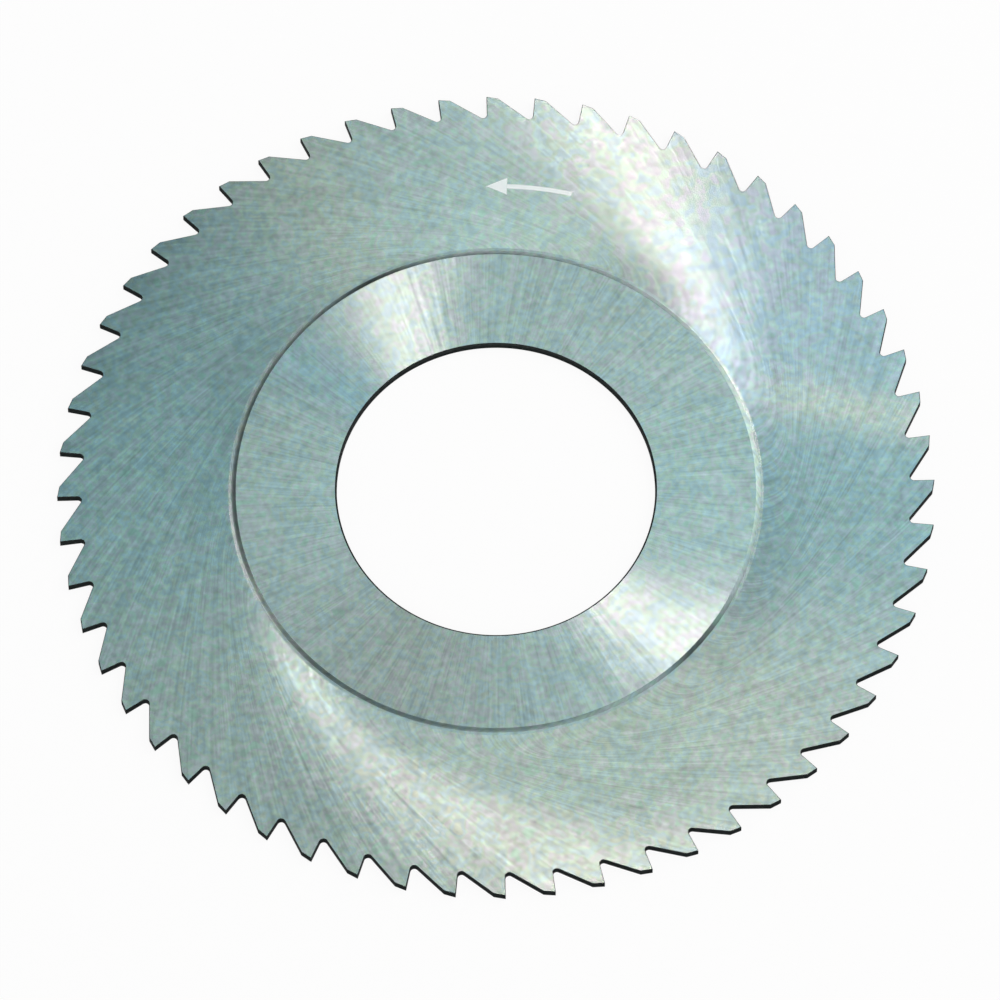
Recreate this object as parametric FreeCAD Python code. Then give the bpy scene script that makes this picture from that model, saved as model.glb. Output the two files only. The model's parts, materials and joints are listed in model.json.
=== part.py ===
"""Slitting saw: one thin disc of cemented carbide, ground all over.

A blank with a plain bore, a flat hub and hollow-ground sides is cut to a toothed outline.
Lengths are millimetres and angles are degrees. The bore's axis is +Z, the disc's middle plane is Z = 0,
and the tip of the first tooth lies on +X. The tips point counter-clockwise, seen from +Z.
"""

import FreeCAD, Part

import math
import os

# Disc
OUTER_DIAMETER = 70.0
THICKNESS = 0.8  # across the tips of the teeth, and across the hub
BORE_DIAMETER = 25.4
BORE_CHAMFER = 0.15  # at 45 degrees, at both ends of the bore

# Hub and hollow-ground sides
HUB_DIAMETER = 41.5
SIDE_CLEARANCE_ANGLE = 0.35  # each side closes in by this, from the tips towards the hub
HUB_FILLET_RADIUS = 0.8  # left by the grinding wheel's corner at the foot of the hub

# Teeth
TOOTH_COUNT = 56
RAKE_ANGLE = 0.0  # a radial face is 0, and a larger angle leans the tip forwards
RAKE_FACE_LENGTH = 2.2  # from the tip to where the face would meet the tooth's back in a sharp corner
ROOT_RADIUS = 0.32  # rounds that corner
LAND_LENGTH = 0.95
LAND_RELIEF_ANGLE = 11.0  # the land falls away behind the tip by this

# How far the blank and the toothed cutter reach past the finished disc
CUTTING_MARGIN = 1.0

CENTRE = FreeCAD.Vector(0, 0, 0)
AXIS = FreeCAD.Vector(0, 0, 1)


def line(start, end):
    """A straight edge."""
    return Part.LineSegment(start, end).toShape()


def side_height(radius):
    """How high the hollow-ground side lies above the middle plane, at a radius."""
    return THICKNESS / 2 - (OUTER_DIAMETER / 2 - radius) * math.tan(math.radians(SIDE_CLEARANCE_ANGLE))


def hub_fillet_centre():
    """The radius and height of the centre of the arc that runs from the hub's edge into the side.

    It lies one fillet radius from the hub's edge and one above the side. With u its distance out from
    the edge and v its height over the hub, v = slope * u + rise and u * u + v * v = radius * radius.
    """
    hub_radius = HUB_DIAMETER / 2
    slope = math.tan(math.radians(SIDE_CLEARANCE_ANGLE))
    rise = side_height(hub_radius) - THICKNESS / 2 + HUB_FILLET_RADIUS * math.hypot(1, slope)
    a = 1 + slope**2
    b = 2 * slope * rise
    c = rise**2 - HUB_FILLET_RADIUS**2
    u = (math.sqrt(b**2 - 4 * a * c) - b) / (2 * a)
    return hub_radius + u, THICKNESS / 2 + slope * u + rise


def section_side(side):
    """One side of the blank's section, from the bore's wall outwards: +1 is the upper side, -1 the lower.

    Returns its edges, and its first and last points.
    """

    def point(radius, height):
        return FreeCAD.Vector(radius, 0, side * height)

    fillet_radius, fillet_height = hub_fillet_centre()

    def fillet_point(angle):
        across = HUB_FILLET_RADIUS * math.cos(angle)
        up = HUB_FILLET_RADIUS * math.sin(angle)
        return point(fillet_radius + across, fillet_height + up)

    hub_edge_angle = math.atan2(THICKNESS / 2 - fillet_height, HUB_DIAMETER / 2 - fillet_radius)
    side_angle = math.radians(SIDE_CLEARANCE_ANGLE - 90)

    bore_wall = point(BORE_DIAMETER / 2, THICKNESS / 2 - BORE_CHAMFER)
    bore_edge = point(BORE_DIAMETER / 2 + BORE_CHAMFER, THICKNESS / 2)
    hub_edge = point(HUB_DIAMETER / 2, THICKNESS / 2)
    fillet_middle = fillet_point((hub_edge_angle + side_angle) / 2)
    fillet_foot = fillet_point(side_angle)
    blank_radius = OUTER_DIAMETER / 2 + CUTTING_MARGIN
    rim = point(blank_radius, side_height(blank_radius))

    edges = [
        line(bore_wall, bore_edge),
        line(bore_edge, hub_edge),
        Part.Arc(hub_edge, fillet_middle, fillet_foot).toShape(),
        line(fillet_foot, rim),
    ]
    return edges, bore_wall, rim


def blank():
    """The disc before its teeth are cut, larger all round by the margin."""
    upper_edges, upper_bore_wall, upper_rim = section_side(1)
    lower_edges, lower_bore_wall, lower_rim = section_side(-1)
    ends = [line(lower_bore_wall, upper_bore_wall), line(lower_rim, upper_rim)]
    section = Part.Wire(Part.__sortEdges__(upper_edges + lower_edges + ends))
    return Part.Face(section).revolve(CENTRE, AXIS, 360)


def polar(length, angle):
    """A vector in the plane of the disc, from its length and its angle from +X."""
    turn = math.radians(angle)
    return FreeCAD.Vector(length * math.cos(turn), length * math.sin(turn), 0)


def tooth_tip(index):
    return polar(OUTER_DIAMETER / 2, index * 360 / TOOTH_COUNT)


def tooth_edges(index):
    """The outline from one tooth's tip to the tip behind it: land, back, rounded root and next rake face."""
    angle = index * 360 / TOOTH_COUNT
    angle_behind = (index - 1) * 360 / TOOTH_COUNT
    tip = tooth_tip(index)
    tip_behind = tooth_tip(index - 1)
    heel = tip + polar(LAND_LENGTH, angle - 90 - LAND_RELIEF_ANGLE)
    corner = tip_behind + polar(RAKE_FACE_LENGTH, angle_behind + 180 + RAKE_ANGLE)

    up_back = (heel - corner).normalize()
    up_rake = (tip_behind - corner).normalize()
    middle = (up_back + up_rake).normalize()
    half_corner = middle.getAngle(up_rake)
    setback = ROOT_RADIUS / math.tan(half_corner)
    root_start = corner + up_back * setback
    root_middle = corner + middle * (ROOT_RADIUS / math.sin(half_corner) - ROOT_RADIUS)
    root_end = corner + up_rake * setback

    return [
        line(tip, heel),
        line(heel, root_start),
        Part.Arc(root_start, root_middle, root_end).toShape(),
        line(root_end, tip_behind),
    ]


def toothed_prism():
    """The toothed outline as a prism through the whole blank."""
    edges = []
    for index in range(TOOTH_COUNT, 0, -1):
        edges += tooth_edges(index)
    half_height = THICKNESS / 2 + CUTTING_MARGIN
    outline = Part.Wire(edges)
    outline.translate(FreeCAD.Vector(0, 0, -half_height))
    return Part.Face(outline).extrude(FreeCAD.Vector(0, 0, 2 * half_height))


def saw_blade():
    """The finished disc, as a single solid."""
    return blank().common(toothed_prism()).Solids[0]


os.makedirs("parts", exist_ok=True)
saw_blade().exportStep("parts/saw_blade.step")
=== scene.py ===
"""Slitting saw: a thin disc of ground cemented carbide, lying flat on a white floor.

Lengths are metres, angles are degrees, and the frame is the part's own: the bore's axis is +Z,
the middle plane is Z = 0, and the tip of one tooth lies on +X.
"""

import json
import math

import bmesh
import bpy
from mathutils import Matrix, Vector


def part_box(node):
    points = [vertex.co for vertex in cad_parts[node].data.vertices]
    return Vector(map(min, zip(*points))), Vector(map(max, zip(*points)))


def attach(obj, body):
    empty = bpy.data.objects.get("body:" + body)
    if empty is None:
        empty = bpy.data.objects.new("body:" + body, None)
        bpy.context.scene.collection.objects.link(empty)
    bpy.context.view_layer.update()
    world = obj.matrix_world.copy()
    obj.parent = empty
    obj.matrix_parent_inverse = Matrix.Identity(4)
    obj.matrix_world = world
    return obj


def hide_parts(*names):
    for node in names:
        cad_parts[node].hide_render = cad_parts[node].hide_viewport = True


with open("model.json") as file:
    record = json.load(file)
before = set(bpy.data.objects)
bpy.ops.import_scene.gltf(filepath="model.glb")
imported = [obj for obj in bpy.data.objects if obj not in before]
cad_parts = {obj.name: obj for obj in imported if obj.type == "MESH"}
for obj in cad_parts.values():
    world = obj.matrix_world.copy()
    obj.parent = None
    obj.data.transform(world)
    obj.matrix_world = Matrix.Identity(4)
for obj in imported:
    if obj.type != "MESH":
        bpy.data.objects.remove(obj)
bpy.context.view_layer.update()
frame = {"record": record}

MM = 0.001

# The disc, from the frame and from the sizes of its source
NODE = "saw_blade"
LOW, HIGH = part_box(NODE)
OUTER_RADIUS = HIGH[0]
HALF_THICKNESS = HIGH[2]
BORE_MOUNT = next(m for m in frame["record"]["mounts"] if m["name"] == "bore")
BORE_RADIUS = BORE_MOUNT["dims"]["r_mm"] * MM
BORE_CHAMFER = HALF_THICKNESS - BORE_MOUNT["dims"]["length_mm"] * MM / 2
HUB_RADIUS = 20.75 * MM
HUB_FILLET_RADIUS = 0.8 * MM
BORDER_RADIUS = 21.35 * MM  # the outer edge of a narrow border round the fillet's foot
SIDE_CLEARANCE_ANGLE = 0.35
TOOTH_COUNT = 56
PITCH = 360 / TOOTH_COUNT
RAKE_FACE_LENGTH = 2.2 * MM
ROOT_RADIUS = 0.32 * MM
LAND_LENGTH = 0.95 * MM
LAND_RELIEF_ANGLE = 11.0
EDGE_BREAK = 0.05 * MM  # along the teeth's outline

# How finely the mesh follows each stretch of a tooth's outline, and the disc's section
RAKE_STEPS = 3
ROOT_STEPS = 8
BACK_STEPS = 4
LAND_STEPS = 2
TOOTH_POINTS = RAKE_STEPS + ROOT_STEPS + BACK_STEPS + LAND_STEPS
TIP_POINT = 0
HEEL_POINT = RAKE_STEPS + ROOT_STEPS + BACK_STEPS
FILLET_STEPS = 4
SIDE_STEPS = 3
TOOTH_BASE_RADIUS = 32.4 * MM  # the outermost round ring, from which rows reach out to the teeth
TOOTH_ROWS = 3

# The faces' materials, by their place in the mesh's list
HUB, CORNER, BORDER, SIDE, EDGE = range(5)

# Grinding marks. Each is tangent to a circle, and leans the way it runs out. The hub's and the sides'
# circles lie a little off the bore's axis. The sides' marks bend outwards as arcs, and near their circle
# they turn gradually.
COUNTER_CLOCKWISE = 1
CLOCKWISE = -1
SIDE_MARK_CIRCLE = 22.9 * MM
SIDE_MARK_CENTRE = (0.96 * MM, -0.49 * MM)
SIDE_MARK_ARC_RADIUS = 150 * MM
SIDE_MARK_TURN = 6.7 * MM
HUB_MARK_CIRCLE = 0.7 * MM
HUB_MARK_CENTRE = (-0.61 * MM, -0.46 * MM)
CORNER_MARK_CIRCLE = 18.8 * MM

# Streaks along the marks: their width at the hub's edge, their length, and their noise's detail
FINE_STREAKS = (0.19 * MM, 5 * MM, 1.0)
COARSE_STREAKS = (0.65 * MM, 10 * MM, 2.0)
BROAD_STREAKS = (1.8 * MM, 14 * MM, 2.0)

# Noise that follows no mark: its scale, detail and roughness
GRAIN = (1900.0, 1.0, 0.5)
MOTTLE = (1000.0, 2.0, 0.5)
PATCHES = (800.0, 2.0, 0.6)

# Colours along a noise: the noise's value, and the colour there
GREY_STOPS = (
    (0.30, (0.292, 0.479, 0.420)),
    (0.42, (0.362, 0.445, 0.480)),
    (0.50, (0.330, 0.485, 0.420)),
    (0.58, (0.300, 0.452, 0.492)),
    (0.70, (0.352, 0.472, 0.420)),
)
# Near-black painted shade for the faces across the disc's thickness
EDGE_PAINTED_SHADE_STOPS = ((0.3, (0.012, 0.014, 0.014)), (0.7, (0.040, 0.045, 0.045)))
FROST_STOPS = ((0.3, (0.86, 0.96, 0.96)), (0.7, (0.92, 1.00, 1.00)))
PAPER_STOPS = ((0.3, (0.90, 0.90, 0.90)), (0.7, (0.94, 0.94, 0.94)))

# Soft clouds on each stretch of the disc: the angle a cloud lies at, how closely it gathers there, and what
# it does to the colour.
# Besides tint they hold painted light and shade, which lighten or darken one side of a stretch as the lamps
# would, and on the corner painted highlights and painted shade
# Tint, and painted light and shade: lighter at the top and bottom, darker at the left and right
SIDE_TINT_AND_PAINTED_LIGHT = (
    (175, 3.0, (0.81, 0.98, 1.03)),
    (148, 14.0, (0.84, 0.86, 0.87)),
    (-8, 9.0, (0.76, 0.90, 0.96)),
    (29, 16.0, (1.06, 1.12, 1.23)),
    (48, 60.0, (1.05, 1.06, 1.12)),
    (64, 14.0, (0.93, 0.90, 0.88)),
    (92, 10.0, (1.14, 1.15, 1.14)),
    (120, 60.0, (1.10, 1.02, 0.95)),
    (212, 14.0, (1.13, 1.07, 1.03)),
    (285, 3.0, (1.10, 1.04, 0.97)),
    (325, 14.0, (1.15, 1.04, 1.01)),
)
# Tint, and painted light and shade: painted highlights beside the hub's bright bands near 114° and 314°,
# lighter at the top, darker to the left and lower left
HUB_TINT_AND_PAINTED_LIGHT = (
    (0, 6.0, (0.93, 0.99, 1.00)),
    (90, 20.0, (1.04, 1.06, 1.06)),
    (114, 30.0, (1.10, 1.08, 1.07)),
    (143, 60.0, (0.84, 0.98, 1.06)),
    (172, 10.0, (0.95, 0.98, 0.97)),
    (243, 8.0, (0.92, 0.86, 0.84)),
    (314, 40.0, (1.07, 1.02, 1.01)),
)
# Painted highlights where the corner glints, near 14° and 207°, and painted shade near 118° and 318°
CORNER_PAINTED_LIGHT_AND_SHADE = (
    (14, 12.0, (2.00, 1.85, 1.75)),
    (118, 60.0, (0.25, 0.25, 0.25)),
    (207, 50.0, (2.60, 2.30, 2.20)),
    (318, 60.0, (0.25, 0.25, 0.25)),
)

# Places where the streaks, the grain and the patches are fainter, in the same form
FAINTER = (0.65, 0.65, 0.65)
SIDE_CALM = ((56, 8.0, FAINTER),)
HUB_CALM = ((117, 20.0, FAINTER), (317, 20.0, FAINTER))

# How the sides change towards their foot at the hub: clouds of their own, which are painted light and shade,
# a darker shade that is painted shade and also dims the highlights there, marks that stray less, and less
# roughness. Each change fades out between two radii.
FOOT_PAINTED_LIGHT_AND_SHADE = (
    (30, 80.0, (0.90, 0.92, 0.93)),
    (48, 40.0, (0.85, 0.80, 0.76)),
    (72, 24.0, (1.24, 1.22, 1.20)),
    (100, 8.0, (1.06, 1.05, 1.04)),
    (227, 60.0, (1.20, 1.20, 1.17)),
    (278, 8.0, (1.12, 1.08, 1.07)),
    (335, 30.0, (0.86, 0.89, 0.92)),
)
FOOT_PAINTED_LIGHT_FADE = (23 * MM, 27 * MM)
FOOT_PAINTED_SHADE = 0.89
FOOT_STRAY = 0.4
FOOT_FADE = (22 * MM, 27 * MM)
FOOT_POLISH = 0.045
FOOT_POLISH_FADE = (21.5 * MM, 28 * MM)

# A faint straight band on the upper side, lighter and yellower: how far its line is turned clockwise from
# +X, how far it passes from the bore's axis, its half width, the stretch in which it sets in, and its tint
STRAW_BAND_ANGLE = 13.3
STRAW_BAND_OFFSET = 12.8 * MM
STRAW_BAND_HALF_WIDTH = 2.1 * MM
STRAW_BAND_START = (17 * MM, 22 * MM)
STRAW = (1.50, 1.25, 1.10, 1.0)

# A rotation arrow, etched along an arc of the upper side. Its head is at the counter-clockwise end.
ARROW_RADIUS = 26.9 * MM
ARROW_ANGLE = 83.0
ARROW_LENGTH = 7.0 * MM
ARROW_STROKE = 0.38 * MM
ARROW_HEAD_LENGTH = 1.7 * MM
ARROW_HEAD_WIDTH = 1.5 * MM
ARROW_SOFTNESS = 0.03 * MM
ETCHED_METALLIC = 0.1

# The picture is 1000 pixels square, and shows the disc's centre at this pixel
IMAGE_WIDTH = 1000
PIXELS_PER_METRE = 12532
DISC_CENTRE_PIXEL = (495.95, 490.43)
CAMERA_DISTANCE = 0.75
CAMERA_ELEVATION = 65.6
CAMERA_AZIMUTH = -1.27

# The floor, and how much of what the camera and the metal see of it is plain white
FLOOR_HALF_WIDTH = 1.5
FLOOR_WHITENESS = 0.93

# The world is white, with one dim patch: its angle in the picture from the right, its elevation, and the
# cosines of the angles from its middle between which it darkens
WORLD_STRENGTH = 0.95
DIM_PATCH_ANGLE = 110
DIM_PATCH_ELEVATION = 62
DIM_PATCH_FADE = (0.45, 0.88)


def polar(length, angle):
    """A vector in the plane of the disc."""
    turn = math.radians(angle)
    return Vector((length * math.cos(turn), length * math.sin(turn)))


def along(start, end, count):
    """Points on a line from its start, with its end left out."""
    return [start.lerp(end, i / count) for i in range(count)]


def tooth_points(index):
    """The outline from one tooth's tip to the next one's, counter-clockwise, with the last tip left out."""
    angle = index * PITCH
    tip = polar(OUTER_RADIUS, angle)
    next_tip = polar(OUTER_RADIUS, angle + PITCH)
    heel = next_tip + polar(LAND_LENGTH, angle + PITCH - 90 - LAND_RELIEF_ANGLE)
    corner = tip + polar(RAKE_FACE_LENGTH, angle + 180)
    up_rake = (tip - corner).normalized()
    up_back = (heel - corner).normalized()
    half_corner = up_rake.angle(up_back) / 2
    setback = ROOT_RADIUS / math.tan(half_corner)
    rake_foot = corner + up_rake * setback
    back_foot = corner + up_back * setback
    centre = corner + (up_rake + up_back).normalized() * ROOT_RADIUS / math.sin(half_corner)
    sweep = math.pi - 2 * half_corner
    turns = [Matrix.Rotation(-sweep * i / ROOT_STEPS, 2) for i in range(ROOT_STEPS)]
    root = [centre + turn @ (rake_foot - centre) for turn in turns]
    return (
        along(tip, rake_foot, RAKE_STEPS)
        + root
        + along(back_foot, heel, BACK_STEPS)
        + along(heel, next_tip, LAND_STEPS)
    )


def inset(points, distance):
    """A closed counter-clockwise outline, moved inwards by a distance."""
    moved = []
    for i, point in enumerate(points):
        before = (point - points[i - 1]).normalized()
        after = (points[(i + 1) % len(points)] - point).normalized()
        normals = [Vector((-edge.y, edge.x)) for edge in (before, after)]
        moved.append(point + (normals[0] + normals[1]) * distance / (1 + normals[0].dot(normals[1])))
    return moved


def spoke_angles(outline):
    """The angle at which each point of the outline meets the round part of the grid.

    Each tooth's points share out one pitch by their distance along the outline, and the foot of the
    rake face stays at its own angle.
    """
    tooth = outline[: TOOTH_POINTS + 1]
    lengths = [(b - a).length for a, b in zip(tooth, tooth[1:])]
    shares = [sum(lengths[:i]) / sum(lengths) for i in range(TOOTH_POINTS)]
    rake_share = shares[RAKE_STEPS]
    return [(index + share - rake_share) * PITCH for index in range(TOOTH_COUNT) for share in shares]


def side_height(radius):
    """How high the hollow-ground side lies above the middle plane."""
    return HALF_THICKNESS - (OUTER_RADIUS - radius) * math.tan(math.radians(SIDE_CLEARANCE_ANGLE))


def fillet_rings():
    """The rings that follow the fillet from the hub's edge to its foot on the side: (radius, height).

    The fillet's centre lies one fillet radius from the hub's edge and one above the side. u is its
    distance out from that edge, and v its height over the hub.
    """
    slope = math.tan(math.radians(SIDE_CLEARANCE_ANGLE))
    rise = side_height(HUB_RADIUS) - HALF_THICKNESS + HUB_FILLET_RADIUS * math.hypot(1, slope)
    a = 1 + slope**2
    b = 2 * slope * rise
    c = rise**2 - HUB_FILLET_RADIUS**2
    u = (math.sqrt(b**2 - 4 * a * c) - b) / (2 * a)
    v = slope * u + rise
    start = math.atan2(-v, -u)
    end = math.radians(SIDE_CLEARANCE_ANGLE - 90)
    angles = [start + (end - start) * i / FILLET_STEPS for i in range(FILLET_STEPS + 1)]
    return [
        (
            HUB_RADIUS + u + HUB_FILLET_RADIUS * math.cos(angle),
            HALF_THICKNESS + v + HUB_FILLET_RADIUS * math.sin(angle),
        )
        for angle in angles
    ]


def upper_rings():
    """The upper half of the disc as rings, from the bore's wall to the tips.

    Each is its points, the material of the faces outside it, and whether it is a sharp edge.
    """
    outline = [point for index in range(TOOTH_COUNT) for point in tooth_points(index)]
    angles = spoke_angles(outline)
    rings = []

    def add(points, height, material, sharp=False):
        rings.append(([Vector((p.x, p.y, height(p.length))) for p in points], material, sharp))

    def add_round(radius, height, material, sharp=False):
        add([polar(radius, angle) for angle in angles], lambda _: height, material, sharp)

    add_round(BORE_RADIUS, HALF_THICKNESS - BORE_CHAMFER, EDGE, True)
    add_round(BORE_RADIUS + BORE_CHAMFER, HALF_THICKNESS, HUB, True)
    hub_edge, *fillet, fillet_foot = fillet_rings()
    add_round(*hub_edge, CORNER, True)
    for ring in fillet:
        add_round(*ring, CORNER)
    add_round(*fillet_foot, BORDER)
    for i in range(SIDE_STEPS):
        radius = BORDER_RADIUS + (TOOTH_BASE_RADIUS - BORDER_RADIUS) * i / SIDE_STEPS
        add_round(radius, side_height(radius), SIDE)
    face_outline = inset(outline, EDGE_BREAK)
    base = [polar(TOOTH_BASE_RADIUS, angle) for angle in angles]
    for i in range(TOOTH_ROWS):
        add([a.lerp(b, i / TOOTH_ROWS) for a, b in zip(base, face_outline)], side_height, SIDE)
    add(face_outline, side_height, EDGE, True)
    add(outline, lambda radius: side_height(radius) - EDGE_BREAK, EDGE, True)
    return rings


def all_rings():
    """The rings of the whole disc: out over its upper half, and back underneath to the bore's wall."""
    upper = upper_rings()
    materials_back = [material for _, material, _ in upper[-2::-1]] + [EDGE]
    lower = [
        ([Vector((p.x, p.y, -p.z)) for p in points], material, sharp)
        for (points, _, sharp), material in zip(reversed(upper), materials_back)
    ]
    return upper + lower


def add_band(bm, ring, next_ring, material):
    """The faces between two neighbouring rings."""
    for i in range(len(ring)):
        after = (i + 1) % len(ring)
        face = bm.faces.new((ring[i], next_ring[i], next_ring[after], ring[after]))
        face.material_index = material
        face.smooth = True


def sharpen(bm, grid, rings):
    """Makes the sharp rings' edges sharp, and those across the rim at each tooth's tip and heel."""
    for vertices, (_, _, sharp) in zip(grid, rings):
        if sharp:
            for i in range(len(vertices)):
                bm.edges.get((vertices[i - 1], vertices[i])).smooth = False
    upper_face_outline = len(rings) // 2 - 2
    rim = grid[upper_face_outline : upper_face_outline + 4]
    for ring, next_ring in zip(rim, rim[1:]):
        for tooth in range(0, len(ring), TOOTH_POINTS):
            for point in (tooth + TIP_POINT, tooth + HEEL_POINT):
                bm.edges.get((ring[point], next_ring[point])).smooth = False


def build_disc(materials):
    """The disc as one closed grid of rings."""
    rings = all_rings()
    bm = bmesh.new()
    grid = [[bm.verts.new(point) for point in points] for points, _, _ in rings]
    for i, (_, material, _) in enumerate(rings):
        add_band(bm, grid[i], grid[(i + 1) % len(grid)], material)
    sharpen(bm, grid, rings)
    mesh = bpy.data.meshes.new("saw_disc")
    bm.to_mesh(mesh)
    bm.free()
    for material in materials:
        mesh.materials.append(material)
    disc = bpy.data.objects.new("saw_disc", mesh)
    bpy.context.scene.collection.objects.link(disc)
    return disc


class Tree:
    """A material's nodes, joined by plain calls that return output sockets."""

    def __init__(self, name):
        self.material = bpy.data.materials.new(name)
        self.material.use_nodes = True
        self.nodes = self.material.node_tree.nodes
        self.links = self.material.node_tree.links
        self.shader = self.nodes["Principled BSDF"]
        self.place = self.node("TexCoord").outputs["Object"]

    def node(self, kind, inputs=None, **settings):
        node = self.nodes.new("ShaderNode" + kind)
        for name, value in settings.items():
            setattr(node, name, value)
        for name, value in (inputs or {}).items():
            self.put(node.inputs[name], value)
        return node

    def put(self, socket, value):
        if isinstance(value, bpy.types.NodeSocket):
            self.links.new(value, socket)
        else:
            socket.default_value = value

    def set(self, **values):
        """Sets the shader's inputs by their names, as in base_color for Base Color."""
        for name, value in values.items():
            self.put(self.shader.inputs[name.replace("_", " ").title().replace("Ior", "IOR")], value)

    def math(self, operation, *values):
        return self.node("Math", dict(enumerate(values)), operation=operation).outputs[0]

    def total(self, value, *others):
        for other in others:
            value = self.math("ADD", value, other)
        return value

    def product(self, value, *others):
        for other in others:
            value = self.math("MULTIPLY", value, other)
        return value

    def vector(self, operation, *values):
        node = self.node("VectorMath", dict(enumerate(values)), operation=operation)
        return node.outputs["Value" if operation in ("DOT_PRODUCT", "LENGTH") else "Vector"]

    def scaled(self, vector, factor):
        """A vector or a colour times a number."""
        return self.node("VectorMath", {0: vector, "Scale": factor}, operation="SCALE").outputs["Vector"]

    def flat(self, vector):
        """A vector without its height."""
        return self.vector("MULTIPLY", vector, (1, 1, 0))

    def turned(self, vector, angle):
        """A vector turned about the disc's axis, by an angle in radians."""
        inputs = {"Vector": vector, "Angle": angle}
        return self.node("VectorRotate", inputs, rotation_type="Z_AXIS").outputs["Vector"]

    def split(self, vector):
        node = self.node("SeparateXYZ", {"Vector": vector})
        return [node.outputs[name] for name in "XYZ"]

    def combine(self, x, y, z):
        return self.node("CombineXYZ", {"X": x, "Y": y, "Z": z}).outputs[0]

    def noise(self, place, scale, detail=2.0, roughness=0.5):
        inputs = {"Vector": place, "Scale": scale, "Detail": detail, "Roughness": roughness}
        return self.node("TexNoise", inputs).outputs["Fac"]

    def span(self, value, low, high, to_low, to_high):
        """A value moved from one span to another, and held inside it."""
        inputs = {"Value": value, "From Min": low, "From Max": high, "To Min": to_low, "To Max": to_high}
        return self.node("MapRange", inputs).outputs["Result"]

    def swing(self, noise, amount, spread=0.25):
        """A noise of this spread about 0.5, as a number that swings by an amount to either side of 0."""
        return self.span(noise, 0.5 - spread, 0.5 + spread, -amount, amount)

    def ramp(self, value, stops):
        node = self.node("ValToRGB", {"Fac": value})
        elements = node.color_ramp.elements
        while len(elements) < len(stops):
            elements.new(0.5)
        for element, (place, colour) in zip(elements, stops):
            element.position = place
            element.color = (*colour, 1)
        return node.outputs["Color"]

    def mix_vectors(self, share, first, second):
        """A vector between two. The Mix node's sockets share their names, so they go by number."""
        return self.node("Mix", {0: share, 4: first, 5: second}, data_type="VECTOR").outputs[1]

    def mix_colours(self, share, first, second, blend="MIX"):
        """The second colour laid over the first. Here too the sockets go by number."""
        inputs = {0: share, 6: first, 7: second}
        return self.node("Mix", inputs, data_type="RGBA", blend_type=blend).outputs[2]

    def bump(self, height, distance, strength):
        inputs = {"Height": height, "Distance": distance, "Strength": strength}
        return self.node("Bump", inputs).outputs[0]


def mark_frame(tree, circle, lean, centre=(0.0, 0.0), bend=0.0, turn=0.0):
    """The grinding marks' frame at each point: which mark it lies on, as a direction, and how far along.

    The marks are tangent to a circle about a centre. The direction points from the centre to where the
    mark's line comes closest to it, so it also lies across the mark. lean is the way the marks run out.
    bend is the curvature of marks that are arcs, and turn is how far from their circle they are still
    turning.
    """
    flat = tree.flat(tree.vector("SUBTRACT", tree.place, (*centre, 0)))
    x, y, _ = tree.split(flat)
    square = tree.vector("DOT_PRODUCT", flat, flat)
    closest = tree.math("MULTIPLY_ADD", square, -bend / 2, circle + circle**2 * bend / 2)
    past = tree.math("SUBTRACT", square, tree.product(closest, closest))
    eased = tree.math("SQRT", tree.math("MULTIPLY_ADD", past, past, turn**4))
    reach = tree.math("SQRT", tree.product(tree.total(past, eased), 0.5))
    inward = tree.scaled(flat, closest)
    sideways = tree.scaled(tree.combine(tree.product(y, -1.0), x, 0.0), tree.product(reach, -lean))
    across = tree.vector("NORMALIZE", tree.vector("ADD", inward, sideways))
    return across, reach


def streaks(tree, across, reach, width, length, detail):
    """Noise drawn out along the marks, in streaks of about this length, and this width at the hub's edge."""
    turn = tree.scaled(across, HUB_RADIUS / width)
    run = tree.combine(0.0, 0.0, tree.math("DIVIDE", reach, length))
    return tree.noise(tree.vector("ADD", turn, run), 1.0, detail)


def clouded(tree, colour, clouds, whole=1.0):
    """A colour with soft clouds laid over it, of tint and of painted light and shade, of which whole is the
    share that shows.
    """
    outwards = tree.vector("NORMALIZE", tree.flat(tree.place))
    for angle, gathered, change in clouds:
        nearness = tree.math("MAXIMUM", tree.vector("DOT_PRODUCT", outwards, (*polar(1, angle), 0)), 0.0)
        share = tree.product(tree.math("POWER", nearness, gathered), whole)
        colour = tree.vector("MULTIPLY", colour, tree.mix_vectors(share, (1, 1, 1), change))
    return colour


def straw_band_mask(tree):
    """How much of the lighter, yellower straw band shows at each point."""
    x, y, z = tree.split(tree.turned(tree.place, math.radians(STRAW_BAND_ANGLE)))
    off = tree.math("DIVIDE", tree.math("SUBTRACT", y, STRAW_BAND_OFFSET), STRAW_BAND_HALF_WIDTH)
    band = tree.math("EXPONENT", tree.product(off, off, -1.0))
    begun = tree.span(x, *STRAW_BAND_START, 0.0, 1.0)
    return tree.product(band, begun, tree.math("GREATER_THAN", z, 0.0))


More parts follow.
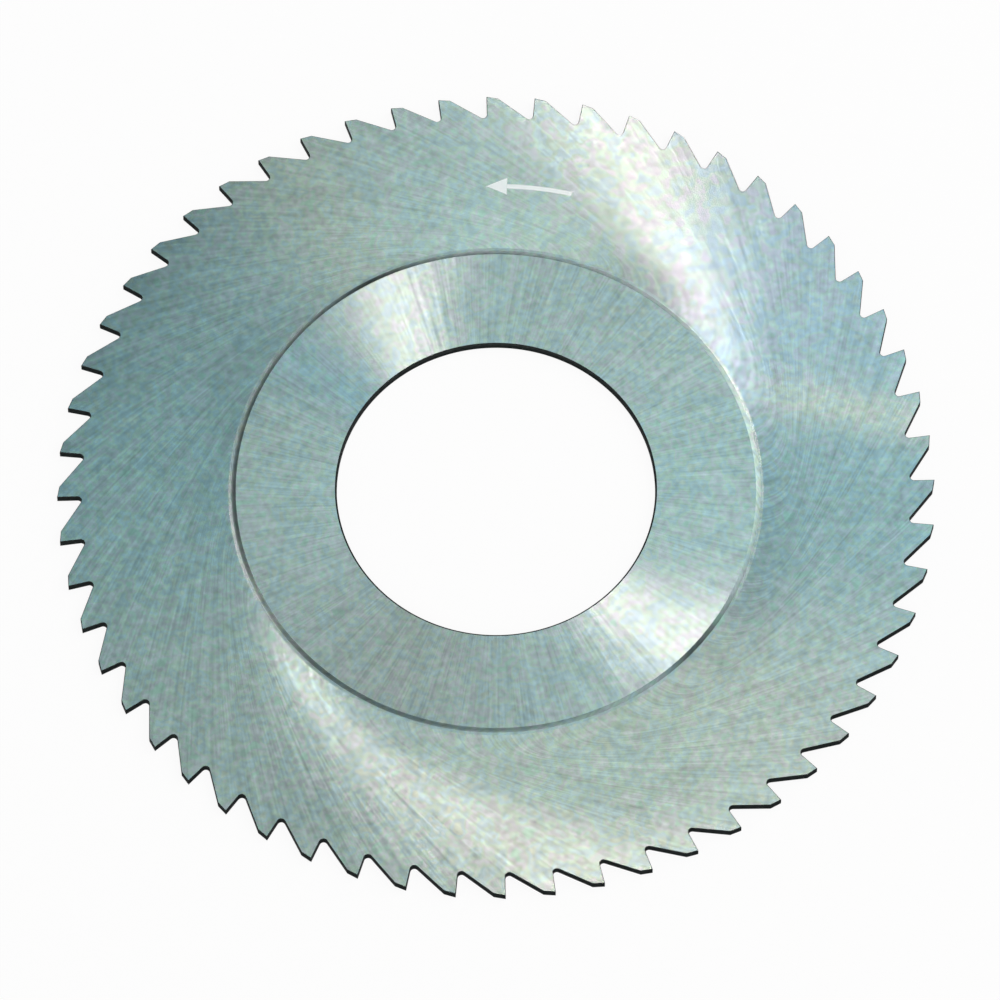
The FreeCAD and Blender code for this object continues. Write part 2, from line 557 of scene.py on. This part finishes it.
def arrow_mask(tree):
    """1 inside the etched arrow and 0 outside it.

    In the arrow's own frame u runs along its arc, from the arrow's middle, and v is how far a point
    lies from the arc.
    """
    x, y, z = tree.split(tree.turned(tree.place, math.radians(-ARROW_ANGLE)))
    radius = tree.math("SQRT", tree.total(tree.product(x, x), tree.product(y, y)))
    u = tree.product(tree.math("ARCTAN2", y, x), ARROW_RADIUS)
    u_back = tree.product(u, -1.0)
    v = tree.math("ABSOLUTE", tree.math("SUBTRACT", radius, ARROW_RADIUS))
    neck = ARROW_LENGTH / 2 - ARROW_HEAD_LENGTH

    def below(value, limit):
        inside = tree.math("SUBTRACT", limit, value)
        return tree.span(inside, -ARROW_SOFTNESS, ARROW_SOFTNESS, 0.0, 1.0)

    shaft = tree.product(below(v, ARROW_STROKE / 2), below(u, neck + ARROW_SOFTNESS))
    shaft = tree.product(shaft, below(u_back, ARROW_LENGTH / 2))
    taper = ARROW_HEAD_WIDTH / 2 / ARROW_HEAD_LENGTH
    head_half_width = tree.product(tree.math("SUBTRACT", ARROW_LENGTH / 2, u), taper)
    head = tree.product(below(v, head_half_width), below(u_back, -neck))
    return tree.product(tree.math("MAXIMUM", shaft, head), tree.math("GREATER_THAN", z, 0.0))


def ground_colour(tree, fine, coarse, grain, tone, clouds, calm):
    """The grey of ground carbide, with its streaks, grain, patches of tint, and clouds of tint and of
    painted light and shade.
    """
    shade = tree.total(
        tree.swing(fine, 0.12),
        tree.swing(coarse, 0.12),
        tree.swing(grain, 0.16, spread=0.3),
        tree.swing(tree.noise(tree.place, *MOTTLE), 0.11, spread=0.3),
    )
    patches = tree.noise(tree.place, *PATCHES)
    loudness = tree.vector("DOT_PRODUCT", clouded(tree, (1, 1, 1), calm), (1, 0, 0))
    shade = tree.math("MULTIPLY_ADD", tree.product(shade, loudness), tone, tone)
    patches = tree.math("MULTIPLY_ADD", tree.math("SUBTRACT", patches, 0.5), loudness, 0.5)
    return clouded(tree, tree.scaled(tree.ramp(patches, GREY_STOPS), shade), clouds)


def ground_metal(name, marks, roughness, anisotropy, stray, tone, clouds=(), calm=(), hollow=False):
    """Ground carbide, which throws light across its marks. stray is how much their directions differ.

    Hollow-ground sides change towards the hub, and bear the lighter, yellower straw band and the arrow.
    """
    tree = Tree(name)
    across, reach = mark_frame(tree, **marks)
    fine = streaks(tree, across, reach, *FINE_STREAKS)
    coarse = streaks(tree, across, reach, *COARSE_STREAKS)
    broad = streaks(tree, across, reach, *BROAD_STREAKS)
    grain = tree.noise(tree.place, *GRAIN)

    colour = ground_colour(tree, fine, coarse, grain, tone, clouds, calm)
    twist = tree.total(tree.swing(fine, 0.02), tree.swing(coarse, 0.12), tree.swing(broad, 0.07))
    twist = tree.product(twist, stray)
    dullness = tree.total(tree.swing(coarse, 0.02, spread=0.2), roughness)
    metallic = 1.0
    if hollow:
        radius = tree.vector("LENGTH", tree.flat(tree.place))
        # Towards the hub: painted shade, then painted light and shade by angle
        colour = tree.scaled(colour, tree.span(radius, *FOOT_FADE, FOOT_PAINTED_SHADE, 1.0))
        colour = clouded(tree, colour, FOOT_PAINTED_LIGHT_AND_SHADE, tree.span(radius, *FOOT_PAINTED_LIGHT_FADE, 1.0, 0.0))
        twist = tree.product(twist, tree.span(radius, *FOOT_FADE, FOOT_STRAY, 1.0))
        dullness = tree.total(dullness, tree.span(radius, *FOOT_POLISH_FADE, -FOOT_POLISH, 0.0))
        colour = tree.mix_colours(straw_band_mask(tree), colour, STRAW, "MULTIPLY")
        etched = arrow_mask(tree)
        colour = tree.mix_colours(etched, colour, tree.ramp(grain, FROST_STOPS))
        metallic = tree.span(etched, 0.0, 1.0, 1.0, ETCHED_METALLIC)

    tree.set(
        base_color=colour,
        metallic=metallic,
        roughness=dullness,
        anisotropic=anisotropy,
        tangent=tree.turned(across, twist),
        normal=tree.bump(tree.total(fine, tree.product(coarse, 1.5)), distance=0.001 * MM, strength=0.2),
    )
    return tree.material


def hub_metal():
    """The flat hub, whose marks run nearly straight out from the bore."""
    return ground_metal(
        "hub_ground",
        marks={"circle": HUB_MARK_CIRCLE, "lean": CLOCKWISE, "centre": HUB_MARK_CENTRE},
        roughness=0.173,
        anisotropy=0.96,
        stray=0.32,
        tone=0.99,
        clouds=HUB_TINT_AND_PAINTED_LIGHT,
        calm=HUB_CALM,
    )


def corner_metal():
    """The fillet, left by the grinding wheel's corner, darker in tone, with painted highlights and painted
    shade laid round it.
    """
    return ground_metal(
        "corner_ground",
        marks={"circle": CORNER_MARK_CIRCLE, "lean": CLOCKWISE},
        roughness=0.40,
        anisotropy=0.70,
        stray=0.9,
        tone=0.80,
        clouds=CORNER_PAINTED_LIGHT_AND_SHADE,
    )


def border_metal():
    """The narrow border outside the fillet."""
    return ground_metal(
        "border_ground",
        marks={"circle": HUB_RADIUS, "lean": CLOCKWISE},
        roughness=0.24,
        anisotropy=0.90,
        stray=0.9,
        tone=1.0,
    )


def side_metal():
    """The hollow-ground sides, with the teeth's faces."""
    return ground_metal(
        "side_ground",
        marks={
            "circle": SIDE_MARK_CIRCLE,
            "lean": COUNTER_CLOCKWISE,
            "centre": SIDE_MARK_CENTRE,
            "bend": 1 / SIDE_MARK_ARC_RADIUS,
            "turn": SIDE_MARK_TURN,
        },
        roughness=0.225,
        anisotropy=0.94,
        stray=0.5,
        tone=1.02,
        clouds=SIDE_TINT_AND_PAINTED_LIGHT,
        calm=SIDE_CALM,
        hollow=True,
    )


def edge_metal():
    """The dark faces across the disc's thickness: the teeth's gashes and lands, and the bore's wall.

    Their near-black colour is painted shade, for the dark that these ground faces reflect. Their noise lies
    in layers, drawn out along the faces and squeezed across them.
    """
    tree = Tree("gashed_edge_painted_shade")
    layered = tree.vector("MULTIPLY", tree.place, (0.35, 0.35, 3.0))
    layers = tree.noise(layered, 9000.0, detail=3.0)
    grains = tree.noise(tree.place, 5000.0)
    tree.set(
        base_color=tree.ramp(layers, EDGE_PAINTED_SHADE_STOPS),
        metallic=1.0,
        roughness=tree.span(grains, 0.3, 0.7, 0.35, 0.55),
        specular_tint=(0.4, 0.4, 0.4, 1.0),
        normal=tree.bump(tree.total(layers, grains), distance=0.003 * MM, strength=0.5),
    )
    return tree.material


def floor_material():
    """White paper under the disc. What the camera and the metal see of it is evened out towards white."""
    tree = Tree("white_paper")
    fibres = tree.noise(tree.place, 900.0, detail=3.0)
    tree.set(base_color=tree.ramp(fibres, PAPER_STOPS), roughness=0.9, specular_ior_level=0.0)
    path = tree.node("LightPath")
    seen = tree.math("MAXIMUM", path.outputs["Is Camera Ray"], path.outputs["Is Glossy Ray"])
    seen = tree.math("MAXIMUM", seen, path.outputs["Is Transmission Ray"])
    white = tree.node("Emission", {"Color": (1, 1, 1, 1), "Strength": 1.0})
    evened = tree.node(
        "MixShader", {0: tree.product(seen, FLOOR_WHITENESS), 1: tree.shader.outputs[0], 2: white.outputs[0]}
    )
    below = tree.node("NewGeometry").outputs["Backfacing"]
    clear = tree.node("BsdfTransparent")
    paper = tree.node("MixShader", {0: below, 1: evened.outputs[0], 2: clear.outputs[0]})
    tree.links.new(paper.outputs[0], tree.nodes["Material Output"].inputs["Surface"])
    return tree.material


def build_floor():
    """One square, at the height of the disc's underside."""
    mesh = bpy.data.meshes.new("floor")
    signs = [(-1, -1), (1, -1), (1, 1), (-1, 1)]
    corners = [(x * FLOOR_HALF_WIDTH, y * FLOOR_HALF_WIDTH, LOW[2]) for x, y in signs]
    mesh.from_pydata(corners, [], [(0, 1, 2, 3)])
    mesh.materials.append(floor_material())
    floor = bpy.data.objects.new("floor", mesh)
    bpy.context.scene.collection.objects.link(floor)


def direction(angle, elevation):
    """A unit vector from the disc, by its angle in the picture from the right, and its elevation."""
    flat = polar(math.cos(math.radians(elevation)), angle + CAMERA_AZIMUTH)
    return Vector((flat.x, flat.y, math.sin(math.radians(elevation))))


def build_world():
    """Even white studio light, with one dim patch overhead."""
    world = bpy.data.worlds.new("studio")
    bpy.context.scene.world = world
    world.use_nodes = True
    nodes, links = world.node_tree.nodes, world.node_tree.links
    background = nodes["Background"]
    background.inputs["Color"].default_value = (1, 1, 1, 1)
    nearness = nodes.new("ShaderNodeVectorMath")
    nearness.operation = "DOT_PRODUCT"
    links.new(nodes.new("ShaderNodeTexCoord").outputs["Generated"], nearness.inputs[0])
    nearness.inputs[1].default_value = direction(DIM_PATCH_ANGLE, DIM_PATCH_ELEVATION)
    dimming = nodes.new("ShaderNodeMapRange")
    dimming.interpolation_type = "SMOOTHSTEP"
    links.new(nearness.outputs["Value"], dimming.inputs["Value"])
    dimming.inputs["From Min"].default_value = DIM_PATCH_FADE[0]
    dimming.inputs["From Max"].default_value = DIM_PATCH_FADE[1]
    dimming.inputs["To Min"].default_value = WORLD_STRENGTH
    dimming.inputs["To Max"].default_value = 0.0
    links.new(dimming.outputs["Result"], background.inputs["Strength"])


def add_lamp(name, angle, elevation, distance, size, power, colour):
    """A round lamp that faces the disc."""
    data = bpy.data.lights.new(name, "AREA")
    data.color = colour
    data.shape = "DISK"
    data.size = size
    data.energy = power
    lamp = bpy.data.objects.new(name, data)
    lamp.location = direction(angle, elevation) * distance
    lamp.rotation_mode = "QUATERNION"
    lamp.rotation_quaternion = lamp.location.to_track_quat("Z", "Y")
    lamp.visible_camera = False
    bpy.context.scene.collection.objects.link(lamp)


def add_camera():
    """Looks down at the disc from the front, moved in its own plane to place the disc in the picture."""
    data = bpy.data.cameras.new("camera")
    data.sensor_width = 36
    data.lens = data.sensor_width * PIXELS_PER_METRE * CAMERA_DISTANCE / IMAGE_WIDTH
    data.clip_start = 0.01
    camera = bpy.data.objects.new("camera", data)
    back = direction(-90, CAMERA_ELEVATION)
    camera.rotation_mode = "QUATERNION"
    camera.rotation_quaternion = (-back).to_track_quat("-Z", "Y")
    right_pixels = IMAGE_WIDTH / 2 - DISC_CENTRE_PIXEL[0]
    up_pixels = DISC_CENTRE_PIXEL[1] - IMAGE_WIDTH / 2
    shift = Vector((right_pixels, up_pixels, 0)) / PIXELS_PER_METRE
    camera.location = back * CAMERA_DISTANCE + camera.rotation_quaternion @ shift
    bpy.context.scene.collection.objects.link(camera)
    bpy.context.scene.camera = camera


def main():
    disc = build_disc([hub_metal(), corner_metal(), border_metal(), side_metal(), edge_metal()])
    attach(disc, "root")
    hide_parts(NODE)
    build_floor()
    build_world()
    warm = (1.0, 0.67, 0.65)
    white = (1.0, 1.0, 1.0)
    add_lamp("key", angle=74.6, elevation=58.3, distance=1.1, size=0.075, power=0.42, colour=warm)
    add_lamp("softbox", angle=33.0, elevation=56.0, distance=0.453, size=0.61, power=1.06, colour=white)
    add_camera()
    bpy.context.scene.view_settings.view_transform = "Standard"


main()
